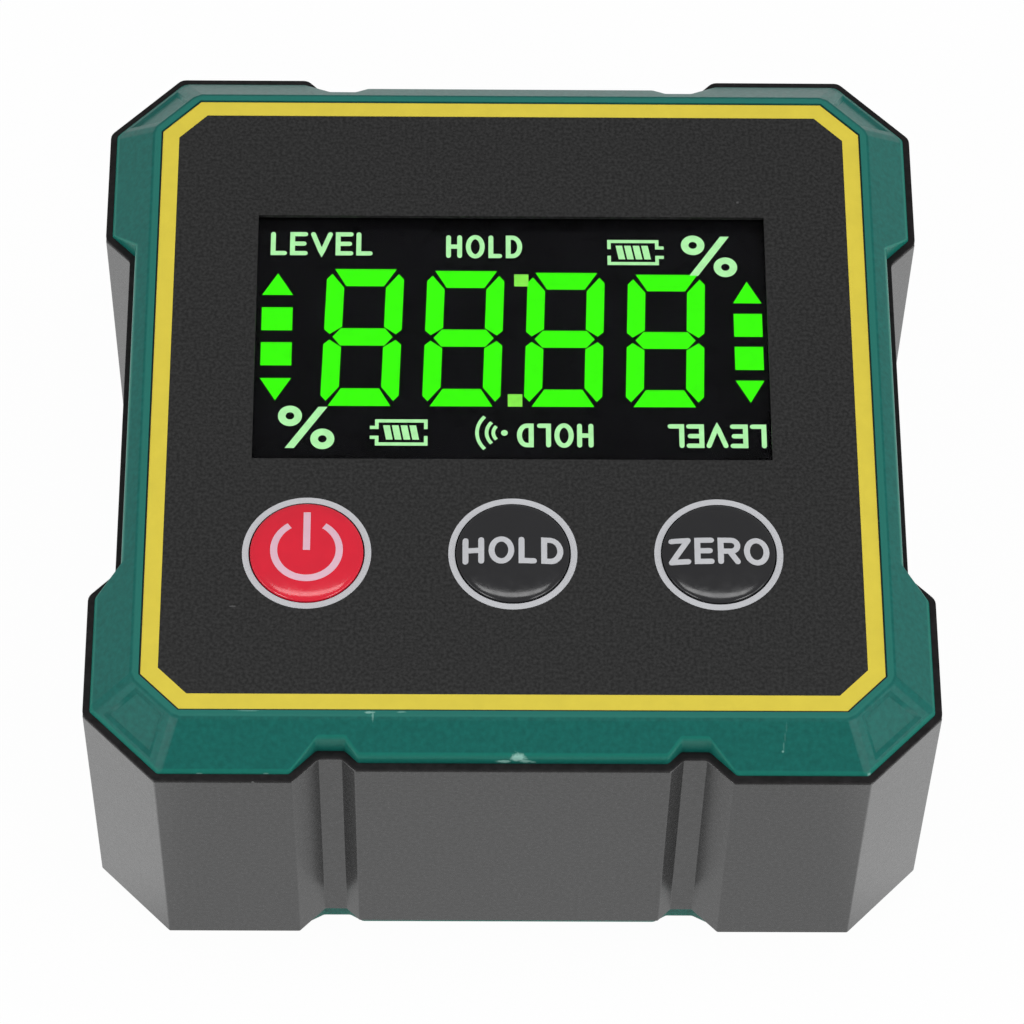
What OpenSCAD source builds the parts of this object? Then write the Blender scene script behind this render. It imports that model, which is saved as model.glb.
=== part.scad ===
// Digital angle gauge: a square box level with a lit display and three keys.
// It lies on its back, display up, with the key row towards -Y.
// A grey sleeve with four measuring sides stands between two sloped covers.

/* [Housing] */
// Width and depth of the square housing
body_w = 60; // [59:0.5:66]
// Leg of the corner cut, along a side
corner_leg = 5.15; // [4.6:0.05:5.6]
// Height of the sleeve
sleeve_h = 23.1; // [22:0.1:30]
// Wall of the sleeve
sleeve_wall = 1.8; // [1.5:0.1:2]
// Rounding of the sleeve's upright edges
sleeve_edge_r = 0.2; // [0.1:0.05:0.8]
// Height of the front bezel and of the back cover
cover_h = 2.85; // [2.7:0.05:3.2]
// How far the covers stand in from the sleeve
cover_inset = 0.5; // [0.3:0.05:0.7]
// Rounding of the covers' upright edges
cover_edge_r = 0.35; // [0.2:0.05:0.5]
// Where a cover's slope meets its flat face, in from the sleeve
rim_inset = 3.5; // [3.2:0.1:3.7]
// Upright lip under a cover's slope
slope_foot = 0.15; // [0.1:0.05:0.4]
// Thickness of the seals between sleeve and covers
seal_t = 0.3; // [0.2:0.05:0.5]
// Rounding of the seals' upright edges
seal_edge_r = 0.8; // [0.3:0.1:1]
// How far the rear seal stands in from the sleeve
rear_seal_inset = 0.3; // [0.2:0.05:0.5]
// Thickness of the tongue that centres a cover in the sleeve
tongue_t = 1.2; // [1:0.1:1.4]
// Reach of that tongue into the sleeve
tongue_h = 1.5; // [1:0.1:2.5]
// Thickness of the back cover's plate
back_t = 2.4; // [2.2:0.1:2.6]

/* [Side grooves] */
// Depth of the grooves and of the side recesses
groove_d = 1.85; // [1.2:0.05:1.9]
// Distance from the middle of a side to a corner block
block_edge = 15.3; // [14.8:0.1:16]
// Setback of the middle pad on the front and rear sides
pad_d = 0.9; // [0.5:0.1:1]
// Half width of that pad
pad_half = 10.95; // [9:0.05:11.5]

/* [Slopes] */
// Width of the flat ridge between two slopes
ridge_w = 0.65; // [0.4:0.05:0.8]
// Depth of the panel sunk in each corner slope
panel_d = 0.25; // [0.1:0.05:0.3]
// Margin at the panel's sides
panel_side = 0.9; // [0.7:0.05:1.2]
// Margin at the panel's top edge
panel_top = 0.4; // [0.3:0.05:0.8]
// Margin at the panel's foot
panel_foot = 0.5; // [0.4:0.05:0.8]

/* [Face] */
// Width of the rim around the overlay
rim_w = 0.5; // [0.4:0.05:0.7]
// Depth of the overlay's face below the rim
overlay_drop = 0.1; // [0.05:0.05:0.2]
// Thickness of the overlay
overlay_t = 0.3; // [0.2:0.05:0.4]
// Thickness of the deck that carries the overlay
deck_t = 1.2; // [1:0.1:1.4]
// Slip gap of pieces that drop into a seat
fit_gap = 0.15; // [0.1:0.05:0.2]

/* [Display] */
// Width of the display window
window_w = 37.2; // [34:0.1:38]
// Height of the display window
window_h = 21.1; // [19:0.1:21.6]
// Place of the window's middle, up the face
window_y = 5.1; // [4.8:0.1:5.6]
// Border of the lens under the overlay
lens_border = 1.2; // [0.8:0.1:1.4]
// Border of the display glass beyond the window
lcd_border = 1.6; // [1.5:0.1:1.8]
// Thickness of the display glass
lcd_t = 2; // [1.6:0.1:2.4]
// Thickness of the backlight
backlight_t = 2.2; // [1.8:0.1:2.6]
// Spacing of the display's pins
pin_pitch = 2.2; // [1.6:0.1:2.5]
// Thickness of a pin
pin_w = 0.4; // [0.3:0.05:0.6]

/* [Keys] */
// Diameter of a key
key_d = 8; // [7:0.1:8.4]
// Spacing of the keys
key_pitch = 14.53; // [13:0.1:15.2]
// Place of the key row, up the face
key_y = -13.3; // [-14.2:0.1:-13]
// Radial gap around a key
key_gap = 0.1; // [0.08:0.01:0.15]
// Height of a key's edge above the overlay
key_edge = 0.05; // [0.02:0.01:0.15]
// Height of a key's dome above its edge
key_dome = 0.5; // [0.3:0.05:0.7]
// Travel of a key
key_travel = 0.35; // [0.2:0.05:0.4]
// Width of the flange that holds a key in
flange_w = 0.8; // [0.6:0.1:0.9]
// Thickness of that flange
flange_t = 0.6; // [0.5:0.05:0.8]
// Width of a key switch
switch_w = 6; // [5:0.1:6.5]
// Diameter of a switch plunger
plunger_d = 3.2; // [2.4:0.1:3.5]

/* [Board] */
// Thickness of the circuit board
board_t = 1.2; // [1:0.1:1.6]
// Clearance of the board to the sleeve
board_gap = 1; // [0.6:0.1:1.2]
// Diameter of the posts that carry the board
post_d = 3.6; // [3.2:0.1:4]
// Diameter of the buzzer
buzzer_d = 9; // [7:0.5:10]
// Height of the buzzer
buzzer_h = 4; // [3:0.1:4.5]

/* [Screws] */
// Diameter of a housing screw's shank
screw_d = 2; // [1.6:0.1:2.2]
// Diameter of its head
head_d = 3.8; // [3.2:0.1:4]
// Height of its head
head_h = 1.3; // [1:0.1:1.5]
// Diameter of the housing bosses
boss_d = 5.2; // [4.8:0.1:5.6]
// Distance of a boss from both sides
boss_inset = 7; // [6.8:0.1:7.4]
// Diameter of a board screw's shank
small_screw_d = 1.6; // [1.4:0.1:1.8]

/* [Battery] */
// Diameter of a cell
cell_d = 10.5; // [9.8:0.1:10.5]
// Gap between the cells and to the bay
cell_gap = 0.5; // [0.3:0.05:0.6]
// Length of a fitted contact spring
spring_l = 3; // [2.4:0.1:3.2]
// Wall of the battery bay
bay_wall = 1.2; // [1:0.1:1.4]
// Gap between the ends of the bay and the sleeve
bay_gap = 0.95; // [0.8:0.05:1.2]
// Thickness of the battery door
door_t = 1.4; // [1.2:0.1:1.6]
// Depth of the door's face below the back
door_drop = 0.2; // [0.1:0.05:0.3]
// Width of the ledge under the door
door_ledge = 0.9; // [0.7:0.05:1]
// Gap around the door
door_gap = 0.2; // [0.15:0.05:0.3]

/* [Magnets] */
// Width of a side magnet
magnet_w = 4.8; // [4:0.1:5.4]
// Height of a side magnet
magnet_h = 15; // [10:0.5:16]
// Thickness of a side magnet
magnet_t = 1.6; // [1.2:0.1:1.8]

/* [Hidden] */
$fn = 48;
cut = 1;
arc_steps = 3;
inner_r = 0.3;
half = body_w / 2;
// Shift of a 45 degree corner, along a side, for each unit of inset
k = sqrt(2) - 1;

// Heights from the resting face up to the keys
z_sleeve0 = cover_h + seal_t;
z_sleeve1 = z_sleeve0 + sleeve_h;
z_bezel = z_sleeve1 + seal_t;
z_top = z_bezel + cover_h;
z_face = z_top - overlay_drop;
z_deck = z_face - overlay_t;
z_under = z_deck - deck_t;
z_lcd = z_under - lcd_t;
z_board1 = z_lcd - backlight_t;
z_board0 = z_board1 - board_t;

// Insets of the nested outlines
overlay_inset = rim_inset + rim_w;
tongue_out = sleeve_wall + fit_gap;
tongue_in = tongue_out + tongue_t;
boss_c = half - boss_inset;
seat_h = 4;
boss_low = z_sleeve0 + seat_h;
screw_bite = 6;
screw_tip = boss_low + screw_bite;
head_sink = 0.4;
cross_l = 0.6;
cross_w = 0.16;
pilot_gap = 0.05;
shank_gap = 0.2;

// Display and board
lens_w = window_w + 2 * lens_border;
lens_h = window_h + 2 * lens_border;
lcd_w = window_w + 2 * lcd_border;
lcd_h = window_h + 2 * lcd_border;
lcd_gap = 0.3;
post_gap = 0.4;
rib_t = 0.6;
rib_h = 1.2;
pin_count = 14;
post_x = 13;
post_ys = [
    window_y + lcd_h / 2 + pin_w + post_gap + post_d / 2,
    key_y - key_d / 2 - flange_w - post_gap - post_d / 2
];
post_bite = 3;
small_head_d = 2 * small_screw_d;
small_head_h = 1;
board_half = half - groove_d - sleeve_wall - board_gap;
boss_gap = 0.5;
board_corner = 2 * board_half - 2 * boss_c + (boss_d / 2 + boss_gap) * sqrt(2);
buzzer_at = [-10, 10];
buzzer_hole = 1.5;
sensor_w = 4;
sensor_h = 1.2;
processor_at = [10, 8];
processor_w = 7;
processor_h = 1;

// Keys and their switches
key_xs = [-key_pitch, 0, key_pitch];
flange_gap = 0.15;
z_flange1 = z_under - flange_gap;
z_flange0 = z_flange1 - flange_t;
press_gap = 0.25;
switch_top = z_flange0 - key_travel - press_gap;
plunger_bite = 1.2;
plunger_gap = 0.1;
dome_steps = 12;

// Battery bay
plate_t = 0.4;
bump_t = 0.4;
bump_d = 3;
nub_d = 3.8;
nub_l = 1;
cell_y = (cell_d + cell_gap) / 2;
bay_l = 2 * (half - groove_d - sleeve_wall - bay_gap - bay_wall);
// Length of a cell over its nub: it fills the bay between its contacts
cell_l = bay_l - 2 * plate_t - spring_l - bump_t;
bay_w = 2 * cell_d + 3 * cell_gap;
z_door1 = door_drop + door_t;
cell_clear = 0.3;
cell_z = z_door1 + cell_clear + cell_d / 2;
bay_top = cell_z + cell_d / 2 + cell_clear;
contact_w = 8.5;
contact_h = 8.5;
tail_w = 3;
tail_gap = 0.25;
wire_r = 0.3;
wire_slack = 0.05;
coil_turns = 3;
coil_steps = 14;
coil_sides = 6;
door_l = bay_l + 2 * door_ledge;
door_w = bay_w + 2 * door_ledge;
hinge_y = door_w / 2 + door_gap;
hook_x = 14;
hook_w = 5;
hook_t = 1;
hook_reach = 0.8;
hook_lift = 0.2;
tongue_slit = 0.6;
tongue_half = 5;
tongue_len = 6;
scoop_r = 5;
scoop_d = 1;

teal = "#1f6b5d";
sleeve_grey = "#5a5a5a";
seal_black = "#1c1b1c";
face_black = "#2e2e2e";
key_red = "#e3283a";
key_black = "#17171a";
board_green = "#1c5a34";
steel = "#b9bcc0";

// Turns a plan point by quarter turns about the middle
function quarter(p, q) =
    q == 0 ? p : quarter([-p.y, p.x], q - 1);

// Half a side's corners, from its middle outwards, as [along, outwards]
function half_side(t, padded) = concat(
    padded ? [[pad_half - k * t, half - pad_d - t]] : [],
    padded ? [[pad_half + groove_d - pad_d - k * t, half - groove_d - t]] : [],
    [
        [block_edge - groove_d + k * t, half - groove_d - t],
        [block_edge + k * t, half - t],
        [half - corner_leg - k * t, half - t]
    ]
);

// One side's corners in the front side's place, left to right
function side(t, padded) = let (h = half_side(t, padded)) concat(
    [for (i = [len(h) - 1:-1:0]) [-h[i].x, -h[i].y]],
    [for (p = h) [p.x, -p.y]]
);

// Plan outline of the housing, set in by t; the front and rear sides have pads
function outline(t) =
    [for (q = [0:3]) for (p = side(t, q % 2 == 0)) quarter(p, q)];

// Plan of a plain cut-cornered square
function octagon(w, leg) = [
    for (q = [0:3]) for (x = [-1, 1]) quarter([x * (w - leg), -w], q)
];

// The cut-cornered square that lies t inside the housing
function inner_octagon(t) = octagon(half - t, corner_leg - 2 * t + sqrt(2) * t);

function unit(v) = v / norm(v);
function spun(v, a) = [v.x * cos(a) - v.y * sin(a), v.x * sin(a) + v.y * cos(a)];

// Arc that rounds the corner b between a and c
function corner_arc(a, b, c, r) = let (
    into = unit(b - a),
    away = unit(c - b),
    turn = atan2(cross(into, away), into * away),
    reach = min(r * abs(tan(turn / 2)), 0.45 * min(norm(b - a), norm(c - b))),
    radius = reach / abs(tan(turn / 2)),
    start = b - into * reach,
    middle = start + [-into.y, into.x] * sign(turn) * radius
) [for (i = [0:arc_steps]) middle + spun(start - middle, turn * i / arc_steps)];

function rounded(p, r) = let (n = len(p))
    [for (i = [0:n - 1]) each corner_arc(p[(i + n - 1) % n], p[i], p[(i + 1) % n], r)];

module prism(points, z0, z1)
    translate([0, 0, z0]) linear_extrude(z1 - z0) polygon(points);

module pillar(d, z0, z1)
    translate([0, 0, z0]) cylinder(d = d, h = z1 - z0);

module block(w, d, z0, z1)
    translate([-w / 2, -d / 2, z0]) cube([w, d, z1 - z0]);

module at_corners(c)
    for (x = [-c, c], y = [-c, c]) translate([x, y, 0]) children();

module at_posts()
    for (x = [-post_x, post_x], y = post_ys) translate([x, y, 0]) children();

module at_window() translate([0, window_y, 0]) children();

module at_key(i) translate([key_xs[i], key_y, 0]) children();

// Covers: both have the same sloped block, face up, with its seam at z = 0
slope_run = rim_inset - cover_inset;
slope_drop = cover_h - slope_foot;
slope_len = norm([slope_run, slope_drop]);
slope_angle = atan2(slope_drop, slope_run);

// The ridge between two slopes lies halfway between their directions
ridge_turn = 22.5;
ridge_angle = atan2(slope_drop * cos(ridge_turn), slope_run);
slopes_apart = acos(pow(sin(slope_angle), 2) * cos(2 * ridge_turn) + pow(cos(slope_angle), 2));
ridge_cut = ridge_w / 2 * tan(slopes_apart / 2);
rim_corner = inner_octagon(rim_inset)[1];
ridge_reach = rim_corner * [sin(ridge_turn), -cos(ridge_turn)];

// Puts a child in each slope's plane: X runs down the slope from the rim's edge
module on_slopes(first)
    for (i = [first:2:7]) rotate(45 * i) {
        reach = first == 0 ? half : (body_w - corner_leg) / sqrt(2);
        translate([reach - rim_inset, 0, cover_h]) rotate([0, slope_angle, 0]) children();
    }

module on_ridges()
    for (i = [0:7]) rotate(ridge_turn + 45 * i)
        translate([ridge_reach, 0, cover_h]) rotate([0, ridge_angle, 0])
            translate([0, 0, -ridge_cut]) children();

// Half width of a corner slope at a distance s below the rim
function facet_half(s) =
    (corner_leg - (2 - sqrt(2)) * (rim_inset - slope_run * s / slope_len)) / sqrt(2);

module slope_cut()
    translate([-body_w, -body_w, 0]) cube([2 * body_w, 2 * body_w, body_w]);

module corner_panel() {
    s0 = panel_top;
    s1 = slope_len - panel_foot;
    w0 = facet_half(s0) - panel_side;
    w1 = facet_half(s1) - panel_side;
    translate([0, 0, -panel_d])
        linear_extrude(cut) polygon([[s0, -w0], [s1, -w1], [s1, w1], [s0, w0]]);
}

module cover_block()
    difference() {
        prism(rounded(outline(cover_inset), cover_edge_r), 0, cover_h);
        on_slopes(0) slope_cut();
        on_slopes(1) slope_cut();
        on_ridges() slope_cut();
        on_slopes(1) corner_panel();
    }

// Sloped block with its centring tongue, hollowed to a plate
module cover_shell(plate)
    difference() {
        union() {
            cover_block();
            prism(rounded(outline(tongue_out), inner_r), -seal_t - tongue_h, cut / 2);
        }
        prism(rounded(outline(tongue_in), inner_r), -seal_t - tongue_h - cut, cover_h - plate);
    }

module front_bezel()
    color(teal) difference() {
        union() {
            translate([0, 0, z_bezel]) cover_shell(z_top - z_under);
            at_corners(boss_c) pillar(boss_d, boss_low, z_under + cut / 2);
            at_posts() pillar(post_d, z_board1, z_under + cut / 2);
            at_window() for (x = [-1, 1]) translate([x * (lcd_w / 2 + lcd_gap + rib_t / 2), 0, 0])
                block(rib_t, lcd_h, z_under - rib_h, z_under + cut / 2);
        }
        prism(inner_octagon(overlay_inset), z_deck, z_top + cut);
        at_window() block(lens_w + 2 * fit_gap, lens_h + 2 * fit_gap, z_under - cut, z_top);
        for (i = [0:2]) at_key(i) pillar(key_d + 2 * key_gap, z_under - cut, z_top);
        at_corners(boss_c) pillar(screw_d + 2 * pilot_gap, boss_low - cut, screw_tip + pilot_gap);
        at_posts() pillar(small_screw_d + 2 * pilot_gap, z_board1 - cut, z_board1 + post_bite + pilot_gap);
    }

module bay_box()
    block(bay_l + 2 * bay_wall, bay_w + 2 * bay_wall, back_t - cut / 2, bay_top + bay_wall);

// Way of a door hook, up past the ledge and out through the bay's wall
module hook_way() {
    w = hook_w + 2 * door_gap;
    start = bay_w / 2 - bay_wall;
    translate([-w / 2, start, z_door1])
        cube([w, hinge_y - start, back_t + hook_lift + 2 * hook_t - z_door1]);
    translate([-w / 2, start, back_t])
        cube([w, 3 * bay_wall, hook_lift + 2 * hook_t]);
}

module back_cover()
    color(teal) difference() {
        union() {
            translate([0, 0, cover_h]) mirror([0, 0, 1]) cover_shell(back_t);
            at_corners(boss_c) pillar(boss_d, back_t - cut / 2, boss_low);
            bay_box();
        }
        block(bay_l, bay_w, -cut, bay_top);
        block(door_l + 2 * door_gap, door_w + 2 * door_gap, -cut, z_door1);
        for (x = [-hook_x, hook_x]) translate([x, 0, 0]) hook_way();
        translate([0, -hinge_y, 0]) pillar(2 * scoop_r, -cut, scoop_d);
        for (y = [-cell_y, cell_y]) translate([-bay_l / 2, y, 0])
            block(2 * (plate_t + tail_gap), tail_w + 2 * tail_gap, bay_top - cut, bay_top + bay_wall + cut);
        at_corners(boss_c) pillar(screw_d + 2 * shank_gap, -cut, boss_low + cut);
        at_corners(boss_c) pillar(head_d + 2 * shank_gap, -cut, head_sink + head_h);
    }

// Ring between the sleeve's inside and an outline set in from its outside
module ring_prism(inset, edge_r, z0, z1)
    difference() {
        prism(rounded(outline(inset), edge_r), z0, z1);
        prism(rounded(outline(sleeve_wall), inner_r), z0 - cut, z1 + cut);
    }

module body_sleeve() color(sleeve_grey) ring_prism(0, sleeve_edge_r, z_sleeve0, z_sleeve1);

module front_seal() color(seal_black) ring_prism(0, seal_edge_r, z_sleeve1, z_bezel);

module rear_seal() color(seal_black) ring_prism(rear_seal_inset, seal_edge_r, cover_h, z_sleeve0);

module face_overlay()
    color(face_black) difference() {
        prism(inner_octagon(overlay_inset + fit_gap / 3), z_deck, z_face);
        at_window() block(window_w, window_h, z_deck - cut, z_face + cut);
        for (i = [0:2]) at_key(i) pillar(key_d + 2 * key_gap, z_deck - cut, z_face + cut);
    }

module display_lens() color("#30343a", 0.4) at_window() block(lens_w, lens_h, z_under, z_deck);

module display_glass() color("#121016") at_window() block(lcd_w, lcd_h, z_lcd, z_under);

module backlight() color("#e8ece8") at_window() block(lcd_w, lcd_h, z_board1, z_lcd);

module display_pins()
    color(steel) for (i = [0:pin_count - 1])
        translate([(i - (pin_count - 1) / 2) * pin_pitch, window_y + (lcd_h + pin_w) / 2, 0])
            block(pin_w, pin_w, z_board1, z_lcd + lcd_t / 2);

module main_board()
    color(board_green) difference() {
        prism(octagon(board_half, board_corner), z_board0, z_board1);
        at_posts() pillar(small_screw_d + 2 * shank_gap, z_board0 - cut, z_board1 + cut);
    }

module tilt_sensor() color("#202020") block(sensor_w, sensor_w, z_board0 - sensor_h, z_board0);

module processor()
    color("#202020") translate(processor_at)
        block(processor_w, processor_w, z_board0 - processor_h, z_board0);

module buzzer()
    color("#18181a") translate(buzzer_at) difference() {
        pillar(buzzer_d, z_board0 - buzzer_h, z_board0);
        pillar(buzzer_hole, z_board0 - buzzer_h - cut, z_board0 - buzzer_h / 2);
    }

module key_switch(i) {
    well = plunger_bite + key_travel + press_gap;
    color("#26262a") at_key(i) difference() {
        block(switch_w, switch_w, z_board1, switch_top);
        pillar(plunger_d + 2 * plunger_gap, switch_top - well, switch_top + cut);
    }
}

module power_switch() key_switch(0);
module hold_switch() key_switch(1);
module zero_switch() key_switch(2);

module key_plunger(i)
    color("#d8d8d4") at_key(i) pillar(plunger_d, switch_top - plunger_bite, z_flange0);

module power_plunger() key_plunger(0);
module hold_plunger() key_plunger(1);
module zero_plunger() key_plunger(2);

// Domed cap with a flange under the deck
module key_cap(i) {
    r = key_d / 2;
    edge = z_face + key_edge;
    at_key(i) rotate_extrude() polygon(concat(
        [[0, z_flange0], [r + flange_w, z_flange0], [r + flange_w, z_flange1], [r, z_flange1]],
        [for (j = [0:dome_steps]) let (a = 90 * j / dome_steps) [r * cos(a), edge + key_dome * sin(a)]]
    ));
}

module power_key() color(key_red) key_cap(0);
module hold_key() color(key_black) key_cap(1);
module zero_key() color(key_black) key_cap(2);

// Screw with its head at the bottom and a cross recess
module screw(shank, head, low, neck, tip)
    difference() {
        union() {
            pillar(head, low, neck);
            pillar(shank, neck - cut / 4, tip);
        }
        for (a = [0, 90]) rotate(a) block(head * cross_l, head * cross_w, low - cut, (low + neck) / 2);
    }

module board_screws()
    color(steel) at_posts()
        screw(small_screw_d, small_head_d, z_board0 - small_head_h, z_board0, z_board1 + post_bite);

module housing_screws()
    color(steel) at_corners(boss_c)
        screw(screw_d, head_d, head_sink, head_sink + head_h, screw_tip);

// Two magnets behind the corner blocks of one side
module side_magnets(q) {
    inner = half - sleeve_wall;
    middle = (block_edge + half - corner_leg) / 2;
    z_mid = (z_sleeve0 + z_sleeve1) / 2;
    color("#8f9296") rotate(90 * q) for (x = [-middle, middle])
        translate([x, magnet_t / 2 - inner, 0])
            block(magnet_w, magnet_t, z_mid - magnet_h / 2, z_mid + magnet_h / 2);
}

module front_magnets() side_magnets(0);
module right_magnets() side_magnets(1);
module rear_magnets() side_magnets(2);
module left_magnets() side_magnets(3);

// Door with two hooks at its rear edge and a springy tongue at its front edge
module battery_door()
    color(teal) union() {
        difference() {
            block(door_l, door_w, door_drop, z_door1);
            for (x = [-tongue_half, tongue_half])
                translate([x, (tongue_len - door_w) / 2, 0])
                    block(tongue_slit, tongue_len + cut / 2, door_drop - cut, z_door1 + cut);
        }
        for (x = [-hook_x, hook_x]) translate([x - hook_w / 2, door_w / 2, 0])
            rotate([90, 0, 90]) linear_extrude(hook_w) hook_profile();
    }

// Section of a hook: an upright on the door and a lip over the back plate
module hook_profile() {
    lip_z = back_t + hook_lift;
    polygon([
        [-door_gap - hook_t, z_door1 - door_t / 2],
        [-door_gap, z_door1 - door_t / 2],
        [-door_gap, lip_z],
        [door_gap + hook_reach, lip_z],
        [door_gap + hook_reach, lip_z + hook_t],
        [-door_gap - hook_t, lip_z + hook_t]
    ]);
}

// Cell along X with its nub at the right
module cell()
    translate([plate_t + spring_l - bay_l / 2, 0, cell_z]) rotate([0, 90, 0]) {
        cylinder(d = cell_d, h = cell_l - nub_l);
        cylinder(d = nub_d, h = cell_l);
    }

module upper_cell() color("#2d4f8a") translate([0, cell_y, 0]) cell();

module lower_cell() color("#2d4f8a") rotate(180) translate([0, cell_y, 0]) cell();

// Contact plate at the bay's right end, centred on a cell
module contact_plate(w)
    translate([(bay_l - plate_t) / 2, 0, 0])
        block(plate_t, w, cell_z - contact_h / 2, cell_z + contact_h / 2);

module contact_bump()
    translate([bay_l / 2 - plate_t - bump_t, 0, cell_z]) rotate([0, 90, 0])
        cylinder(d = bump_d, h = bump_t + plate_t / 2);

// Tail that rises through the bay's roof to the board
module contact_tail()
    translate([(bay_l - plate_t) / 2, 0, 0])
        block(plate_t, tail_w, cell_z + contact_h / 2 - cut / 2, z_board0);

module link_contact()
    color(steel) union() {
        contact_plate(2 * cell_y + contact_w);
        translate([0, cell_y, 0]) contact_bump();
    }

module positive_contact()
    color(steel) rotate(180) translate([0, cell_y, 0]) {
        contact_plate(contact_w);
        contact_bump();
        contact_tail();
    }

module negative_contact()
    color(steel) rotate(180) translate([0, -cell_y, 0]) {
        contact_plate(contact_w);
        contact_tail();
    }

// Conical coil along X, wide end first
module coil(r0, r1, length) {
    n = coil_turns * coil_steps;
    m = coil_sides;
    points = [for (i = [0:n], j = [0:m - 1]) let (
        a = 360 * i / coil_steps,
        b = 360 * j / m,
        r = r0 + (r1 - r0) * i / n + wire_r * cos(b)
    ) [length * i / n + wire_r * sin(b), r * cos(a), r * sin(a)]];
    walls = [for (i = [0:n - 1], j = [0:m - 1]) let (p = i * m + j, q = i * m + (j + 1) % m)
        each [[p, q, q + m], [p, q + m, p + m]]];
    ends = [[for (j = [m - 1:-1:0]) j], [for (j = [0:m - 1]) n * m + j]];
    polyhedron(points, concat(walls, ends));
}

module contact_spring() {
    slack = wire_r + wire_slack;
    translate([plate_t + slack - bay_l / 2, 0, cell_z])
        coil(contact_w / 2 - 2 * wire_r, contact_w / 4, spring_l - 2 * slack);
}

module contact_springs()
    color(steel) for (a = [0, 180]) rotate(a) translate([0, cell_y, 0]) contact_spring();

front_bezel();
back_cover();
body_sleeve();
front_seal();
rear_seal();
face_overlay();
display_lens();
display_glass();
backlight();
display_pins();
main_board();
tilt_sensor();
processor();
buzzer();
power_switch();
hold_switch();
zero_switch();
power_plunger();
hold_plunger();
zero_plunger();
power_key();
hold_key();
zero_key();
board_screws();
housing_screws();
front_magnets();
rear_magnets();
left_magnets();
right_magnets();
battery_door();
upper_cell();
lower_cell();
link_contact();
positive_contact();
negative_contact();
contact_springs();
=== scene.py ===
# Digital angle gauge: the finish of its housing, face, display and keys.
import math

import bmesh
import bpy
from mathutils import Matrix, Vector


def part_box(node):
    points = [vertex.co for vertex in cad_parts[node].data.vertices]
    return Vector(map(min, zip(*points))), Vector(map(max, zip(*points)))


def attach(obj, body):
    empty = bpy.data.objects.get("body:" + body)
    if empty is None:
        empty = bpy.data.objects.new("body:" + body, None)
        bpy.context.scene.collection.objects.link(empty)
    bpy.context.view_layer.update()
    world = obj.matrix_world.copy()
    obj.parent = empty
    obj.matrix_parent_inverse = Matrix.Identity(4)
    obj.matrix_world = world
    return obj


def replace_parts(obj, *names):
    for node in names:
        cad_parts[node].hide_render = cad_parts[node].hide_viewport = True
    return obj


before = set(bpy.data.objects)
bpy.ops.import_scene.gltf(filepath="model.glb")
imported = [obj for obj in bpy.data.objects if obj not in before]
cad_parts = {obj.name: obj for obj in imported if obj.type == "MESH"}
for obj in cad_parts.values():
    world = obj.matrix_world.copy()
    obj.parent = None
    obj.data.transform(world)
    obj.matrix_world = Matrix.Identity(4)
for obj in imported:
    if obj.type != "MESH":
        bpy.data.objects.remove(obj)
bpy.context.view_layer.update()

MM = 0.001
HOUSING = "housing"

# Levels and places, read from the frame
Z_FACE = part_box("face_overlay")[1].z
Z_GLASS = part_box("display_glass")[1].z
Z_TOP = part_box("front_bezel")[1].z
Z_SEAM_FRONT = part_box("front_seal")[1].z
Z_SEAM_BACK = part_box("rear_seal")[0].z
FACE_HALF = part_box("face_overlay")[1].x
LENS_LOW, LENS_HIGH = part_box("display_lens")
WINDOW_MIDDLE = (LENS_LOW + LENS_HIGH) / 2

# Print on the face
PRINT_T = 0.02 * MM
PRINT_SINK = 0.01 * MM
LAYER = 0.002 * MM
BORDER_MARGIN = 0.08 * MM
BORDER_W = 1.2 * MM
BORDER_LEG = 2.79 * MM
KEY_RING_IN = 4.1 * MM
KEY_RING_OUT = 4.55 * MM

# Key caps
KEY_FLANGE_W = 0.8 * MM
KEY_FLANGE_T = 0.6 * MM
KEY_EDGE = 0.05 * MM
KEY_STEPS = 96
DOME_STEPS = 20
KEY_WORD_W = 7.1 * MM
KEY_WORD_H = 2.15 * MM
KEY_STROKE = 0.42 * MM

# How far up the display its marks lie, so that they show in place through the lens
DISPLAY_RISE = 0.63 * MM


# Colours

def tone(red, green, blue):
    """A screen colour, 0 to 255, as the shader's linear colour."""
    def linear(value):
        share = value / 255
        return share / 12.92 if share <= 0.04045 else ((share + 0.055) / 1.055) ** 2.4
    return (linear(red), linear(green), linear(blue), 1.0)


def shifted(colour, factor):
    return tuple(min(1.0, part * factor) for part in colour[:3]) + (1.0,)


# Materials

class NodeMaterial:
    """A material and the means to add nodes to it."""

    def __init__(self, name):
        self.material = bpy.data.materials.new(name)
        self.material.use_nodes = True
        self.tree = self.material.node_tree

    def node(self, kind, inputs=None, **settings):
        made = self.tree.nodes.new(kind)
        for setting, value in settings.items():
            setattr(made, setting, value)
        for socket, value in (inputs or {}).items():
            if isinstance(value, bpy.types.NodeSocket):
                self.tree.links.new(value, made.inputs[socket])
            else:
                made.inputs[socket].default_value = value
        return made

    def spread(self, value, low, high, start, end, **settings):
        made = self.node("ShaderNodeMapRange", {0: value, 1: low, 2: high, 3: start, 4: end}, **settings)
        return made.outputs[0]

    def math(self, operation, first, second):
        return self.node("ShaderNodeMath", {0: first, 1: second}, operation=operation).outputs[0]


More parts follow.
